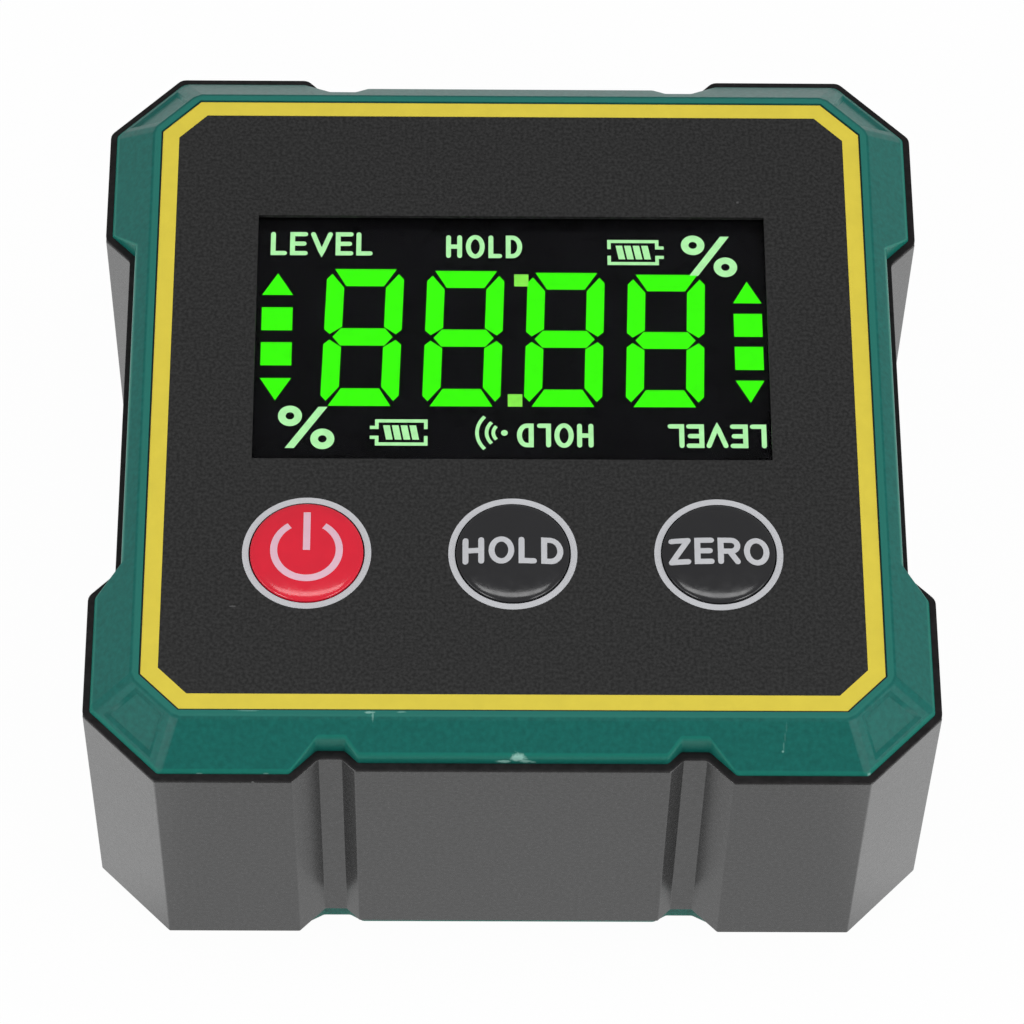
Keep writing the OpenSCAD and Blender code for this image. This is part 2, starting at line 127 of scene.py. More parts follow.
class Look(NodeMaterial):
    """A material around one Principled shader, textured in the object's own metres."""

    def __init__(self, name, sockets=None):
        super().__init__(name)
        self.shader = self.tree.nodes["Principled BSDF"]
        for socket, value in (sockets or {}).items():
            self.shader.inputs[socket].default_value = value
        self.place = self.node("ShaderNodeTexCoord").outputs["Object"]

    def link(self, output, socket):
        self.tree.links.new(output, self.shader.inputs[socket])

    def noise(self, scale, detail=2.0):
        made = self.node("ShaderNodeTexNoise", {"Vector": self.place, "Scale": scale, "Detail": detail})
        return made.outputs["Fac"]

    def mix(self, factor, first, second):
        made = self.node("ShaderNodeMix", {0: factor, 6: first, 7: second}, data_type="RGBA")
        return made.outputs[2]

    def mottled(self, colour, vary, scale, detail=3.0):
        """The colour, a little darker and lighter from place to place."""
        cloud = self.spread(self.noise(scale, detail), 0.3, 0.7, 0.0, 1.0)
        return self.mix(cloud, shifted(colour, 1 - vary), shifted(colour, 1 + vary))

    def rough(self, low, high, scale):
        self.link(self.spread(self.noise(scale), 0.3, 0.7, low, high), "Roughness")

    def spots(self, places):
        """The share of wear in ragged spots, each with its middle, half size in millimetres and depth."""
        ragged = self.noise(4500.0, 3.0)
        found = None
        for middle, size, depth in places:
            away = self.vector("SUBTRACT", self.place, middle)
            shares = self.vector("DIVIDE", away, size)
            reach = self.node("ShaderNodeVectorMath", {0: shares}, operation="LENGTH").outputs["Value"]
            here = self.spread(self.math("ADD", reach, ragged), 1.0, 1.5, depth, 0.0)
            found = self.math("MAXIMUM", found, here) if found else here
        return found

    def vector(self, operation, first, second):
        """Vector arithmetic with a second value in millimetres."""
        second = [part * MM for part in second]
        return self.node("ShaderNodeVectorMath", {0: first, 1: second}, operation=operation).outputs[0]

    def bump(self, height, depth):
        made = self.node("ShaderNodeBump", {"Height": height, "Distance": depth, "Strength": 1.0})
        self.link(made.outputs["Normal"], "Normal")


def moulded(name, colour, vary=0.06, rough=(0.34, 0.46), grain=4500.0, depth=0.004, sockets=None):
    """Moulded plastic: mottled colour, uneven gloss and a fine grain."""
    look = Look(name, sockets)
    look.link(look.mottled(colour, vary, 300.0), "Base Color")
    look.rough(rough[0], rough[1], 700.0)
    look.bump(look.noise(grain, 3.0), depth * MM)
    return look


# Worn places, each with its middle, half size in millimetres and depth: on the teal a chip on the lower
# front edge, a fine scratch, scuffs along the rim and specks at the foot of the slopes
TEAL_WEAR = (
    ((0.35, -28.5, 27.32), (0.62, 0.45, 0.5), 0.85), ((-0.65, -28.6, 26.87), (0.62, 0.3, 0.22), 0.75),
    ((0.85, -28.6, 26.9), (0.45, 0.3, 0.26), 0.65), ((1.38, -28.6, 26.8), (0.24, 0.3, 0.13), 0.5),
    ((18.87, -27.0, 28.95), (0.07, 0.45, 0.45), 0.07), ((18.78, -27.5, 28.5), (0.06, 0.45, 0.45), 0.1),
    ((18.7, -28.0, 28.05), (0.06, 0.4, 0.4), 0.18), ((18.65, -28.25, 27.8), (0.09, 0.1, 0.1), 0.5),
    ((-9.95, -26.16, 29.4), (0.5, 0.1, 0.2), 0.6), ((-9.72, -26.35, 29.35), (0.09, 0.5, 0.5), 0.35),
    ((-18.3, -26.06, 29.4), (1.0, 0.06, 0.2), 0.25), ((-7.75, -26.12, 29.4), (0.4, 0.08, 0.2), 0.3),
    ((-21.68, -29.5, 26.6), (0.26, 0.2, 0.08), 0.4), ((-17.1, -29.5, 26.62), (0.24, 0.2, 0.08), 0.4),
    ((24.7, -29.45, 26.65), (0.2, 0.2, 0.14), 0.5),
)
SEAL_WEAR = (
    ((-18.0, -30.0, 26.3), (0.14, 0.2, 0.1), 0.85),
    ((-14.4, -29.9, 26.35), (0.1, 0.2, 0.08), 0.85),
)
FILM_WEAR = (
    ((-19.62, -17.67, 29.3), (0.3, 0.07, 0.2), 0.85),
    ((16.7, 17.0, 29.3), (0.12, 0.12, 0.2), 0.85),
)


def teal_plastic():
    """Teal moulding, with painted highlights that make it brighter along its outer edges and round the face,
    and pale where worn.
    """
    look = Look("teal_plastic", {"Specular IOR Level": 0.22})
    edge = look.node("ShaderNodeAttribute", attribute_name="edge").outputs["Fac"]
    rim = look.node("ShaderNodeAttribute", attribute_name="rim").outputs["Fac"]
    body = look.mottled(tone(20, 100, 92), 0.14, 2800.0)
    # Painted highlight: where the edge attribute is 1, on the covers' foot rounding, the teal is lightened
    # towards a paler teal
    body = look.mix(look.math("MULTIPLY", edge, 0.55), body, tone(24, 128, 111))
    # Painted sheen: a lighter teal on the top strip of the cover, just under the face's level
    height = look.node("ShaderNodeSeparateXYZ", {0: look.place}).outputs["Z"]
    painted_rim_sheen = look.spread(height, Z_TOP - 0.05 * MM, Z_TOP - 0.01 * MM, 0.0, 1.0)
    body = look.mix(painted_rim_sheen, body, tone(40, 118, 107))
    look.link(look.mix(look.spots(TEAL_WEAR), body, tone(158, 208, 196)), "Base Color")
    uneven = look.spread(look.noise(3000.0), 0.3, 0.7, 0.33, 0.38)
    look.link(look.math("ADD", uneven, look.math("MULTIPLY", rim, 0.3)), "Roughness")
    look.bump(look.noise(4500.0, 3.0), 0.003 * MM)
    return look.material


def sleeve_plastic():
    look = Look("sleeve_plastic", {"IOR": 2.0})
    speckle = look.spread(look.noise(3400.0, 2.0), 0.35, 0.65, 0.0, 1.0)
    look.link(look.mix(speckle, tone(0, 0, 0), tone(41, 41, 42)), "Base Color")
    look.rough(0.24, 0.31, 6000.0)
    look.bump(look.noise(4200.0, 3.0), 0.005 * MM)
    return look.material


def seal_rubber():
    """Black rubber with a ragged surface and a pale speck or two."""
    look = Look("seal_rubber", {"Specular IOR Level": 0.25})
    body = look.mottled(tone(26, 24, 25), 0.4, 2200.0)
    look.link(look.mix(look.spots(SEAL_WEAR), body, tone(196, 198, 196)), "Base Color")
    look.rough(0.55, 0.75, 900.0)
    look.bump(look.noise(2800.0, 3.0), 0.03 * MM)
    return look.material


def face_film():
    look = Look("face_film", {"Specular IOR Level": 0.35})
    speckle = look.spread(look.noise(4300.0, 2.0), 0.35, 0.68, 0.0, 1.0)
    body = look.mix(speckle, tone(28, 28, 28), tone(50, 50, 50))
    look.link(look.mix(look.spots(FILM_WEAR), body, tone(88, 88, 88)), "Base Color")
    look.rough(0.46, 0.58, 900.0)
    look.bump(look.noise(6000.0, 2.0), 0.008 * MM)
    return look.material


def print_ink(name, colour):
    look = Look(name)
    look.link(look.mottled(colour, 0.03, 700.0), "Base Color")
    look.rough(0.4, 0.5, 1500.0)
    look.bump(look.noise(6000.0, 2.0), 0.004 * MM)
    return look.material


def glossy_key(name, colour):
    look = Look(name, {"Coat Weight": 0.3, "Coat Roughness": 0.08})
    look.link(look.mottled(colour, 0.04, 500.0), "Base Color")
    look.rough(0.12, 0.22, 1800.0)
    look.bump(look.noise(1100.0, 3.0), 0.006 * MM)
    return look.material


def clear_lens():
    look = Look("clear_lens", {"Transmission Weight": 1.0, "IOR": 1.49, "Specular Tint": (0.1, 0.1, 0.1, 1)})
    look.link(look.mottled(tone(240, 242, 244), 0.01, 120.0), "Base Color")
    look.rough(0.0, 0.03, 260.0)
    return look.material


def display_face():
    look = Look("display_face", {"Specular IOR Level": 0.05})
    look.link(look.mottled(tone(25, 24, 28), 0.25, 350.0), "Base Color")
    look.rough(0.25, 0.35, 800.0)
    return look.material


def lit_mark(name, colour, strength):
    """A lit mark of the display, a little uneven in its light."""
    unlit = {"Base Color": tone(6, 12, 6), "Specular IOR Level": 0.05}
    look = Look(name, {**unlit, "Emission Strength": strength})
    look.link(look.mottled(colour, 0.07, 1400.0), "Emission Color")
    look.rough(0.4, 0.5, 900.0)
    return look.material


def bare_metal(name, colour, rough=(0.25, 0.4)):
    look = Look(name, {"Metallic": 1.0})
    look.link(look.mottled(colour, 0.06, 500.0), "Base Color")
    look.rough(rough[0], rough[1], 1200.0)
    look.bump(look.noise(2500.0, 2.0), 0.003 * MM)
    return look.material


def circuit_board():
    look = Look("circuit_board")
    traces = look.spread(look.noise(420.0, 0.0), 0.48, 0.5, 0.0, 1.0)
    look.link(look.mix(traces, tone(20, 74, 40), tone(30, 98, 54)), "Base Color")
    look.rough(0.3, 0.4, 800.0)
    look.bump(traces, 0.02 * MM)
    return look.material


TEAL = teal_plastic()
SLEEVE = sleeve_plastic()
SEAL = seal_rubber()
FILM = face_film()
YELLOW_INK = print_ink("yellow_ink", tone(231, 211, 69))
PALE_INK = print_ink("pale_ink", tone(202, 203, 207))
PINK_INK = print_ink("pink_ink", tone(236, 191, 208))
KEY_RED = glossy_key("key_red_gloss", tone(230, 34, 57))
KEY_BLACK = glossy_key("key_black_gloss", tone(40, 40, 42))
LENS = clear_lens()
DISPLAY = display_face()
GREEN_LIGHT = lit_mark("green_light", tone(58, 255, 6), 1.16)
PALE_LIGHT = lit_mark("pale_light", tone(178, 243, 170), 1.12)
DOT_LIGHT = lit_mark("dot_light", tone(136, 236, 80), 1.12)
STEEL = bare_metal("bare_steel", tone(196, 199, 203))
MAGNET = bare_metal("magnet_plating", tone(170, 172, 176), rough=(0.2, 0.3))
BOARD = circuit_board()
CHIP = moulded("chip_black", tone(34, 34, 36), vary=0.1).material
PLUNGER = moulded("plunger_white", tone(216, 216, 210)).material
DIFFUSER = moulded("diffuser_white", tone(232, 236, 232), rough=(0.4, 0.55)).material
CELL_WRAP = moulded("cell_wrap", tone(45, 79, 138), rough=(0.2, 0.3), depth=0.001).material

SLOT_MATERIALS = {
    "teal_shell": TEAL, "grey_sleeve": SLEEVE, "black_seal": SEAL, "face_film": FILM,
    "lens_clear": LENS, "display_black": DISPLAY, "diffuser_white": DIFFUSER, "board_green": BOARD,
    "chip_black": CHIP, "plunger_white": PLUNGER, "key_red": KEY_RED, "key_black": KEY_BLACK,
    "steel": STEEL, "magnet_plate": MAGNET, "cell_wrap": CELL_WRAP,
}


def dress_nodes():
    """Gives each node of the frame the material of its slot."""
    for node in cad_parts.values():
        for place in node.material_slots:
            place.material = SLOT_MATERIALS[place.material.name.split(".")[0]]


# Mesh helpers

def add_piece(name, bm, material, body=HOUSING, sharp=35.0):
    """Turns a bmesh into a smooth-shaded piece that rides on a body."""
    bmesh.ops.recalc_face_normals(bm, faces=bm.faces)
    mesh = bpy.data.meshes.new(name)
    bm.to_mesh(mesh)
    bm.free()
    mesh.shade_smooth()
    mesh.set_sharp_from_angle(angle=math.radians(sharp))
    mesh.materials.append(material)
    piece = bpy.data.objects.new(name, mesh)
    bpy.context.scene.collection.objects.link(piece)
    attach(piece, body)
    return piece


def prism(bm, points, bottom, top):
    """A flat-topped solid over a plan outline."""
    low = [bm.verts.new((x, y, bottom)) for x, y in points]
    high = [bm.verts.new((x, y, top)) for x, y in points]
    count = len(points)
    bm.faces.new(high)
    bm.faces.new(low[::-1])
    for i in range(count):
        j = (i + 1) % count
        bm.faces.new((low[i], low[j], high[j], high[i]))


def resampled(path, step):
    """The path with points added so that none lie further apart than a step."""
    points = [path[0]]
    for end in path[1:]:
        start = points[-1]
        parts = max(1, math.ceil((end - start).length / step))
        points += [start.lerp(end, i / parts) for i in range(1, parts + 1)]
    return points


def cross_sections(path, half_w, closed, round_ends):
    """Middle, sideways vector and half width of a stroke at each point of its path."""
    count = len(path)
    sections = []
    for i, point in enumerate(path):
        before = path[i - 1] if i or closed else None
        after = path[(i + 1) % count] if i < count - 1 or closed else None
        into = (point - before).normalized() if before else None
        away = (after - point).normalized() if after else None
        along = ((into or away) + (away or into)).normalized()
        side = Vector((-along.y, along.x))
        spread = 1 / max(0.5, side.dot(Vector((-(away or into).y, (away or into).x))))
        sections.append((point, side * spread, half_w))
    if closed or not round_ends:
        return sections
    cap = [(math.sin(math.radians(a)) * half_w, math.cos(math.radians(a)) * half_w) for a in (30, 58, 82)]
    first, last = sections[0], sections[-1]
    back = (path[0] - path[1]).normalized()
    on = (path[-1] - path[-2]).normalized()
    head = [(first[0] + back * reach, first[1], w) for reach, w in reversed(cap)]
    tail = [(last[0] + on * reach, last[1], w) for reach, w in cap]
    return head + sections + tail


def stroke(bm, path, width, surface, closed=False, round_ends=True, thickness=PRINT_T):
    """A raised ribbon along a plan path that lies on a surface, given as height over (x, y)."""
    rows = []
    for middle, side, half_w in cross_sections(path, width / 2, closed, round_ends):
        left, right = middle + side * half_w, middle - side * half_w
        rows.append([
            bm.verts.new((p.x, p.y, surface(p.x, p.y) + lift))
            for p, lift in ((left, thickness), (right, thickness), (right, -PRINT_SINK), (left, -PRINT_SINK))
        ])
    count = len(rows)
    for i in range(count if closed else count - 1):
        here, there = rows[i], rows[(i + 1) % count]
        for a in range(4):
            b = (a + 1) % 4
            bm.faces.new((here[a], here[b], there[b], there[a]))
    if not closed:
        bm.faces.new(rows[0][::-1])
        bm.faces.new(rows[-1])


def arc(centre, rx, ry, start, end, steps):
    """Points of an elliptic arc between two angles in degrees."""
    turn = [math.radians(start + (end - start) * i / steps) for i in range(steps + 1)]
    return [Vector((centre[0] + rx * math.cos(a), centre[1] + ry * math.sin(a))) for a in turn]


def ring_path(centre, rx, ry, steps):
    return arc(centre, rx, ry, 0, 360, steps)[:-1]


def cut_square(half, leg):
    """Corners of a square with cut corners, anticlockwise."""
    near = half - leg
    quarter = [Vector((half, -near)), Vector((half, near))]
    points = []
    for turn in range(4):
        spin = Matrix.Rotation(math.radians(90 * turn), 2)
        points += [spin @ p for p in quarter]
    return points


def flat(level):
    return lambda x, y: level


def lathe(bm, profile, centre, steps):
    """A turned solid; the profile runs from axis to axis as (radius, height)."""
    rings = []
    for radius, height in profile:
        if radius == 0:
            rings.append([bm.verts.new((centre[0], centre[1], height))])
            continue
        turn = [2 * math.pi * i / steps for i in range(steps)]
        rings.append([
            bm.verts.new((centre[0] + radius * math.cos(a), centre[1] + radius * math.sin(a), height))
            for a in turn
        ])
    for low, high in zip(rings, rings[1:]):
        for i in range(steps):
            j = (i + 1) % steps
            corners = [low[i % len(low)], low[j % len(low)], high[j % len(high)], high[i % len(high)]]
            bm.faces.new(list(dict.fromkeys(corners)))


# Housing shells: the frame's solids with softened edges

SLEEVE_ROUND = 0.10 * MM
SEAL_ROUND = 0.08 * MM
DOOR_ROUND = 0.12 * MM
TINY = 0.005 * MM


def clean_copy(node):
    """A node's mesh with its seams welded and its flat faces whole."""
    bm = bmesh.new()
    bm.from_mesh(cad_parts[node].data)
    bmesh.ops.remove_doubles(bm, verts=bm.verts, dist=TINY / 5)
    bmesh.ops.dissolve_limit(bm, angle_limit=math.radians(1), verts=bm.verts, edges=bm.edges)
    return bm


def on_flat_rim(edge):
    """True of the outer edges between an upright wall and a flat face."""
    levels = sorted(abs(face.normal.z) for face in edge.link_faces)
    outwards = max(face.normal.xy.dot(face.calc_center_median().xy) for face in edge.link_faces)
    return levels[-1] > 0.99 and levels[0] < 0.1 and outwards > 0


def softened(node, name, material, radius, body=HOUSING):
    """Replaces a node by a copy with its outer edges rounded."""
    bm = clean_copy(node)
    edges = [e for e in bm.edges if len(e.link_faces) == 2 and on_flat_rim(e)]
    bmesh.ops.bevel(bm, geom=edges, offset=radius, segments=3, profile=0.5, affect="EDGES")
    add_shell(name, bm, material, node, body)


def add_shell(name, bm, material, node, body=HOUSING):
    piece = add_piece(name, bm, material, body)
    piece.modifiers.new("flat_faces", "WEIGHTED_NORMAL").keep_sharp = True
    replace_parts(piece, node)


# Covers: eight slopes with flat ridges between them rise from a notched wall to a flat face, and each
# corner slope has a sunk panel. Heights count from a cover's seam towards its face. Slopes have even
# numbers and ridges odd ones, anticlockwise from +X.

RIM_INSET = 3.5 * MM
COVER_INSET = 0.5 * MM
SLOPE_FOOT = 0.15 * MM
RIDGE_W = 0.65 * MM
COVER_H = Z_TOP - Z_SEAM_FRONT
SLOPE = (COVER_H - SLOPE_FOOT) / (RIM_INSET - COVER_INSET)
SLOPE_ANGLE = math.atan(SLOPE)
SLOPE_LEN = math.hypot(COVER_H - SLOPE_FOOT, RIM_INSET - COVER_INSET)
PLANE_COUNT = 16
TURN = math.tau / PLANE_COUNT
RIM_ROUND = 0.2 * MM
FOOT_ROUND = 0.28 * MM
WALL_SHARE = 0.85
ROUND_STEPS = 5
RIDGE_EDGE = 0.05 * MM
PANEL_SIDE = 0.9 * MM
PANEL_TOP = 0.4 * MM
PANEL_FOOT = 0.5 * MM
PANEL_STEPS = ((-0.05, 0.0), (0.03, 0.02), (0.27, 0.19), (0.36, 0.22))


def make_planes():
    """Outward direction, steepness and distance at the face's level of each slope and ridge."""
    planes = {}
    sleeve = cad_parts["body_sleeve"].data.vertices
    for k in range(0, PLANE_COUNT, 2):
        outwards = Vector((math.cos(k * TURN), math.sin(k * TURN)))
        planes[k] = (outwards, SLOPE, max(v.co.xy.dot(outwards) for v in sleeve) - RIM_INSET)
    apart = math.acos(math.sin(SLOPE_ANGLE) ** 2 * math.cos(2 * TURN) + math.cos(SLOPE_ANGLE) ** 2)
    steep = SLOPE * math.cos(TURN)
    set_in = RIDGE_W / 2 * math.tan(apart / 2) / math.sin(math.atan(steep))
    for k in range(1, PLANE_COUNT, 2):
        outwards = Vector((math.cos(k * TURN), math.sin(k * TURN)))
        corner = meeting(planes[k - 1], planes[(k + 1) % PLANE_COUNT])
        planes[k] = (outwards, steep, corner.dot(outwards) - set_in)
    return planes


def meeting(first, second, inset=0.0):
    """Where two planes cut the face's level at one point, each set in by a distance."""
    lines = Matrix((first[0], second[0]))
    return lines.inverted() @ Vector((first[2] - inset, second[2] - inset))


PLANES = make_planes()


def along(side):
    outwards = PLANES[side][0]
    return Vector((-outwards.y, outwards.x))


def rim_edge(side, inset):
    """Start and end of one side of the face's outline, set in by a distance."""
    before, after = PLANES[(side - 1) % PLANE_COUNT], PLANES[(side + 1) % PLANE_COUNT]
    return meeting(before, PLANES[side], inset), meeting(PLANES[side], after, inset)


def height_on(side, p):
    outwards, steep, distance = PLANES[side]
    return COVER_H - steep * (p.dot(outwards) - distance)


def lowest_side(p):
    return min(PLANES, key=lambda side: height_on(side, p))


def bend(start, corner, end):
    """Points that round a corner between two places."""
    turn = [i / ROUND_STEPS for i in range(ROUND_STEPS + 1)]
    return [start * (1 - t) ** 2 + corner * 2 * t * (1 - t) + end * t * t for t in turn]


def split_edge(edge, start, shares):
    """Splits an edge, seen from its start, at rising shares of its length."""
    end = edge.other_vert(start)
    made, done = [], 0.0
    for share in shares:
        vert = bmesh.utils.edge_split(edge, start, (share - done) / (1 - done))[1]
        edge = next(e for e in vert.link_edges if end in e.verts)
        made.append(vert)
        start, done = vert, share
    return made


def edge_between(a, b):
    return next(e for e in a.link_edges if b in e.verts)


def ordered_loop(edges):
    """Vertices of a closed chain of edges, anticlockwise from above."""
    left = set(edges)
    edge = edges[0]
    loop = [edge.verts[0]]
    while left:
        left.discard(edge)
        loop.append(edge.other_vert(loop[-1]))
        edge = next((e for e in loop[-1].link_edges if e in left), None)
    loop.pop()
    area = sum(a.co.xy.cross(b.co.xy) for a, b in zip(loop, loop[1:] + loop[:1]))
    return loop if area > 0 else loop[::-1]


def sides_between(first, last):
    """The slopes and ridges from one to another, anticlockwise, both among them."""
    return [(first + step) % PLANE_COUNT for step in range((last - first) % PLANE_COUNT + 1)]


def wall_columns(loop):
    """The wall's outline, in runs of vertices under one slope or ridge, with two added at each change."""
    columns, starts = [], []
    for a, b in zip(loop, loop[1:] + loop[:1]):
        here, there = a.co.xy.copy(), b.co.xy.copy()
        step = RIDGE_EDGE / (there - here).length
        crossed = sides_between(lowest_side(here), lowest_side(there))
        shares = []
        for one, other in zip(crossed, crossed[1:]):
            before = height_on(one, here) - height_on(other, here)
            after = height_on(one, there) - height_on(other, there)
            share = before / (before - after)
            shares += [share - step, share + step]
        columns.append(a)
        for number, vert in enumerate(split_edge(edge_between(a, b), a, shares)):
            if number % 2:
                starts.append(len(columns))
            columns.append(vert)
    columns = columns[starts[0]:] + columns[:starts[0]]
    starts = [start - starts[0] for start in starts] + [len(columns)]
    return [columns[a:b] for a, b in zip(starts, starts[1:])]


def rim_targets(run, inset):
    """The points of the face's outline that a run of the wall climbs to."""
    side = lowest_side(run[len(run) // 2].co.xy)
    way = along(side)
    start, end = rim_edge(side, inset)
    low, high = run[0].co.xy.dot(way), run[-1].co.xy.dot(way)
    start, end = start + way * RIDGE_EDGE, end - way * RIDGE_EDGE
    return [start.lerp(end, (v.co.xy.dot(way) - low) / (high - low)) for v in run]


def rim_columns(loop, targets):
    """Sets the face's corners in and adds a vertex at each target.

    Gives the whole loop and the places of the targets in it.
    """
    for vert in loop:
        side = min(PLANES, key=lambda k: (rim_edge(k, 0.0)[1] - vert.co.xy).length)
        vert.co.x, vert.co.y = rim_edge(side, RIM_ROUND)[1]
    whole, places = [], {}
    for a, b in zip(loop, loop[1:] + loop[:1]):
        span = (b.co - a.co).xy
        shares = []
        for number, target in enumerate(targets):
            share = (target - a.co.xy).dot(span) / span.length_squared
            if (target - a.co.xy - span * share).length < TINY and 0 < share < 1:
                shares.append((share, number))
        shares.sort()
        whole.append(a)
        for vert, (_, number) in zip(split_edge(edge_between(a, b), a, [s[0] for s in shares]), shares):
            places[number] = len(whole)
            whole.append(vert)
    return whole, [places[number] for number in range(len(targets))]


def sink_panel(bm, face, side, seam, facing):
    """Cuts a corner slope's face open and sinks a panel with sloped edges into it."""
    outwards, way = PLANES[side][0], along(side)
    run, drop = math.cos(SLOPE_ANGLE), math.sin(SLOPE_ANGLE)
    beside = PLANES[(side + 2) % PLANE_COUNT]

    def place(s, a, depth):
        plan = outwards * (PLANES[side][2] + s * run - depth * drop) + way * a
        return bm.verts.new((plan.x, plan.y, seam + facing * (COVER_H - s * drop - depth * run)))

    around = list(face.verts)
    bm.faces.remove(face)
    for margin, depth in PANEL_STEPS:
        ring = []
        low = SLOPE_LEN - PANEL_FOOT - margin * MM
        high = PANEL_TOP + margin * MM
        for s, sign in ((low, -1), (low, 1), (high, 1), (high, -1)):
            half = meeting(PLANES[side], beside, -s * run).dot(way) - PANEL_SIDE - margin * MM
            ring.append(place(s, sign * half, depth * MM))
        for i in range(4):
            j = (i + 1) % 4
            bm.faces.new((around[i], around[j], ring[j], ring[i]))
        around = ring
    bm.faces.new(around)


def skin_path(wall, rim, face_edge):
    """From the wall's rounded crest up the slope and over the rounded rim, as plan places with heights."""
    inwards = (rim - wall).normalized()
    side = lowest_side(wall)

    def skin(p):
        return Vector((p.x, p.y, height_on(side, p)))

    crest = skin(wall)
    below = crest - Vector((0, 0, min(FOOT_ROUND, WALL_SHARE * crest.z)))
    foot = bend(below, crest, skin(wall + inwards * FOOT_ROUND))
    over = bend(skin(rim - inwards * RIM_ROUND), skin(rim), Vector((face_edge.x, face_edge.y, COVER_H)))
    return foot + over[:-1]


def make_cover(node, name, facing, seam):
    """A cover with its sloped skin made anew between the wall's foot and the flat face."""
    bm = clean_copy(node)
    # The edge layer marks the foot rounding, where the teal gets its painted highlight; the rim layer marks
    # where its gloss is rougher
    bm.verts.layers.float.new("edge")
    bm.verts.layers.float.new("rim")
    foot_highlight_layer, rim_layer = bm.verts.layers.float["edge"], bm.verts.layers.float["rim"]

    def height(vert):
        return facing * (vert.co.z - seam)

    def in_skin(face):
        beyond = all(height_on(lowest_side(v.co.xy), v.co.xy) < COVER_H + TINY for v in face.verts)
        tall = all(height(v) > -TINY for v in face.verts) and any(height(v) > TINY for v in face.verts)
        return beyond and tall and facing * face.normal.z < 0.99

    bmesh.ops.delete(bm, geom=[f for f in bm.faces if in_skin(f)], context="FACES")
    open_edges = [e for e in bm.edges if len(e.link_faces) == 1]
    runs = wall_columns(ordered_loop([e for e in open_edges if height(e.verts[0]) < TINY]))
    foot = [vert for run in runs for vert in run]
    rims = [place for run in runs for place in rim_targets(run, 0.0)]
    flats = [place for run in runs for place in rim_targets(run, RIM_ROUND)]
    whole, places = rim_columns(ordered_loop([e for e in open_edges if height(e.verts[0]) > TINY]), flats)

    rows = []
    for low, rim, flat_place in zip(foot, rims, flats):
        path = skin_path(low.co.xy.copy(), rim, flat_place)
        column = [low]
        for number, p in enumerate(path):
            vert = bm.verts.new((p.x, p.y, seam + facing * p.z))
            vert[foot_highlight_layer] = float(number < ROUND_STEPS)
            vert[rim_layer] = float(number > ROUND_STEPS + 1)
            column.append(vert)
        rows.append(column)

    slope_row = ROUND_STEPS + 1
    for i, here in enumerate(rows):
        j = (i + 1) % len(rows)
        there = rows[j]
        for row in range(len(here) - 1):
            face = bm.faces.new((here[row], there[row], there[row + 1], here[row + 1]))
            side = lowest_side((here[slope_row].co + there[slope_row].co).xy / 2)
            wide = (there[slope_row].co - here[slope_row].co).length > RIDGE_W
            if row == slope_row and side % 4 == 2 and wide:
                sink_panel(bm, face, side, seam, facing)
        end = places[j] if places[j] > places[i] else places[j] + len(whole)
        edge = [whole[n % len(whole)] for n in range(places[i], end + 1)]
        bm.faces.new([here[-1], there[-1]] + edge[::-1])
    add_shell(name, bm, TEAL, node)


def make_housing():
    make_cover("front_bezel", "bezel_shell", 1, Z_SEAM_FRONT)
    make_cover("back_cover", "back_shell", -1, Z_SEAM_BACK)
    softened("body_sleeve", "sleeve_shell", SLEEVE, SLEEVE_ROUND)
    softened("front_seal", "front_band", SEAL, SEAL_ROUND)
    softened("rear_seal", "rear_band", SEAL, SEAL_ROUND)
    softened("battery_door", "door_panel", TEAL, DOOR_ROUND, body="battery_door")


# Face print

def make_border():
    bm = bmesh.new()
    middle = FACE_HALF - BORDER_MARGIN - BORDER_W / 2
    leg = BORDER_LEG - (2 - math.sqrt(2)) * (BORDER_MARGIN + BORDER_W / 2)
    stroke(bm, cut_square(middle, leg), BORDER_W, flat(Z_FACE), closed=True)
    add_piece("face_border", bm, YELLOW_INK)


# Keys

def dome(centre, radius, edge, height):
    """Height of a key's dome over (x, y)."""
    def surface(x, y):
        share = min(1.0, math.hypot(x - centre.x, y - centre.y) / radius)
        return edge + height * math.sqrt(1 - share * share)
    return surface


def make_key(node, material, ink, draw_mark):
    low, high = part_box(node)
    centre = (low + high) / 2
    radius = (high.x - low.x) / 2 - KEY_FLANGE_W
    edge = Z_FACE + KEY_EDGE
    height = high.z - edge - PRINT_T - 2 * LAYER
    profile = [(0, low.z), (radius + KEY_FLANGE_W, low.z), (radius + KEY_FLANGE_W, low.z + KEY_FLANGE_T),
               (radius, low.z + KEY_FLANGE_T)]
    for i in range(DOME_STEPS):
        angle = math.radians(90 * i / DOME_STEPS)
        profile.append((radius * math.cos(angle), edge + height * math.sin(angle)))
    profile.append((0, edge + height))
    bm = bmesh.new()
    lathe(bm, profile, centre, KEY_STEPS)
    cap = add_piece(node + "_cap", bm, material, body=node)
    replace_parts(cap, node)

    bm = bmesh.new()
    draw_mark(bm, centre, dome(centre, radius, edge, height))
    add_piece(node + "_mark", bm, ink, body=node)

    bm = bmesh.new()
    ring_middle = (KEY_RING_IN + KEY_RING_OUT) / 2
    path = ring_path(centre, ring_middle, ring_middle, KEY_STEPS)
    stroke(bm, path, KEY_RING_OUT - KEY_RING_IN, flat(Z_FACE), closed=True)
    add_piece(node + "_ring", bm, PALE_INK)


POWER_ARC_R = 2.31 * MM
POWER_STROKE = 0.5 * MM
POWER_GAP = 32
POWER_BAR = (-0.07 * MM, 3.12 * MM)
POWER_STEP = 0.2 * MM


def power_mark(bm, centre, surface):
    ring = arc(centre, POWER_ARC_R, POWER_ARC_R, 90 + POWER_GAP, 450 - POWER_GAP, 60)
    stroke(bm, ring, POWER_STROKE, surface, round_ends=False)
    bar = [Vector((centre.x, centre.y + y)) for y in POWER_BAR]
    stroke(bm, resampled(bar, POWER_STEP), POWER_STROKE, surface, round_ends=False)


# Letters: strokes in a box one unit high, with their widths

def polyline(*points):
    return [Vector(p) for p in points]


